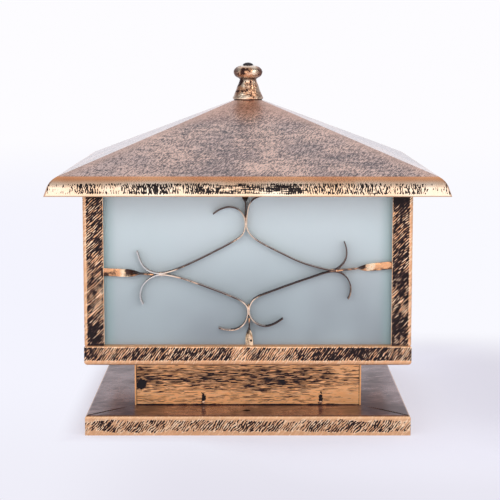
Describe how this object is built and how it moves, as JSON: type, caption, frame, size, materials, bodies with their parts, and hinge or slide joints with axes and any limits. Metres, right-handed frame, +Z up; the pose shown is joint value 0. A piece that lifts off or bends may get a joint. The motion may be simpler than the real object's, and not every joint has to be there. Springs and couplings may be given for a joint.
{
  "type": "pillar light",
  "caption": "Square pillar light: stepped foot, frosted panes behind bent-strip ornament, low pyramid roof held by a screw-on finial, and a screw-in lamp inside.",
  "frame": {"origin": "centre of the foot's underside, where it rests on the pillar", "axes": "+Z up along the finial, -Y out of the front, +X to the viewer's right"},
  "size_m": [0.3008, 0.3008, 0.2834],
  "materials": {
    "antique_sheet": "antique copper, brushed aslant",
    "roof_sheet": "antique copper, finely brushed",
    "dark_strip": "dark bronze",
    "frosted_glass": "frosted",
    "cast_finial": "cast, antique copper",
    "dark_cap": "dark satin",
    "zinc_steel": "zinc plated",
    "rubber": "matte",
    "foam": "closed-cell foam",
    "porcelain": "glazed",
    "contact_brass": "bright",
    "terminal_plastic": "matte",
    "brown_lead": "satin",
    "blue_lead": "satin",
    "lamp_cap": "bright",
    "lamp_glass": "opal"
  },
  "bodies": {
    "lantern": {"base_rail_front": "antique_sheet", "base_rail_right": "antique_sheet", "base_rail_rear": "antique_sheet", "base_rail_left": "antique_sheet", "floor_plate": "zinc_steel", "cable_grommet": "rubber", "neck_front": "antique_sheet", "neck_rear": "antique_sheet", "neck_left": "antique_sheet", "neck_right": "antique_sheet", "shelf_plate": "zinc_steel", "lower_rail_front": "antique_sheet", "lower_rail_right": "antique_sheet", "lower_rail_rear": "antique_sheet", "lower_rail_left": "antique_sheet", "post_front_left": "antique_sheet", "post_front_right": "antique_sheet", "post_rear_right": "antique_sheet", "post_rear_left": "antique_sheet", "top_rail_front": "antique_sheet", "top_rail_right": "antique_sheet", "top_rail_rear": "antique_sheet", "top_rail_left": "antique_sheet", "glass_front": "frosted_glass", "glass_right": "frosted_glass", "glass_rear": "frosted_glass", "glass_left": "frosted_glass", "scrolls_front": "dark_strip", "scrolls_right": "dark_strip", "scrolls_rear": "dark_strip", "scrolls_left": "dark_strip", "stays_front": "dark_strip", "stays_right": "dark_strip", "stays_rear": "dark_strip", "stays_left": "dark_strip", "lower_glass_clips": "zinc_steel", "upper_glass_clips": "zinc_steel", "roof_gasket": "foam", "crossbar": "zinc_steel", "crossbar_screws": "zinc_steel", "roof_rod": "zinc_steel", "rod_nuts": "zinc_steel", "holder_bracket": "zinc_steel", "holder_screws": "zinc_steel", "holder_body": "porcelain", "holder_shell": "contact_brass", "holder_contact": "contact_brass", "terminal_block": "terminal_plastic", "live_lead": "brown_lead", "neutral_lead": "blue_lead", "earth_screw": "contact_brass"},
    "roof": {"roof_shell": "roof_sheet"},
    "washer": {"sealing_washer": "rubber"},
    "finial": {"finial": "cast_finial", "finial_cap": "dark_cap"},
    "lamp_carrier": {"bulb_contact": "contact_brass"},
    "lamp": {"bulb_cap": "lamp_cap", "bulb_globe": "lamp_glass"}
  },
  "joints": [
    {"name": "roof_lift", "type": "slide", "parent": "lantern", "child": "roof", "axis": [0, 0, 1], "range_m": [0, 0.09]},
    {"name": "washer_lift", "type": "slide", "parent": "roof", "child": "washer", "axis": [0, 0, 1], "range_m": [0, 0.0151]},
    {"name": "finial_turn", "type": "hinge", "parent": "washer", "child": "finial", "pos_m": [0, 0, 0.2534], "axis": [0, 0, 1], "range_deg": [0, 4320]},
    {"name": "lamp_lift", "type": "slide", "parent": "lantern", "child": "lamp_carrier", "axis": [0, 0, 1], "range_m": [0, 0.0182]},
    {"name": "lamp_turn", "type": "hinge", "parent": "lamp_carrier", "child": "lamp", "pos_m": [0, 0, 0.1], "axis": [0, 0, 1], "range_deg": [0, 1800]}
  ],
  "couplings": [
    {"joint": "washer_lift", "follows": "finial_turn", "m_per_rad": 0.00019894},
    {"joint": "lamp_lift", "follows": "lamp_turn", "m_per_rad": 0.00057757}
  ]
}
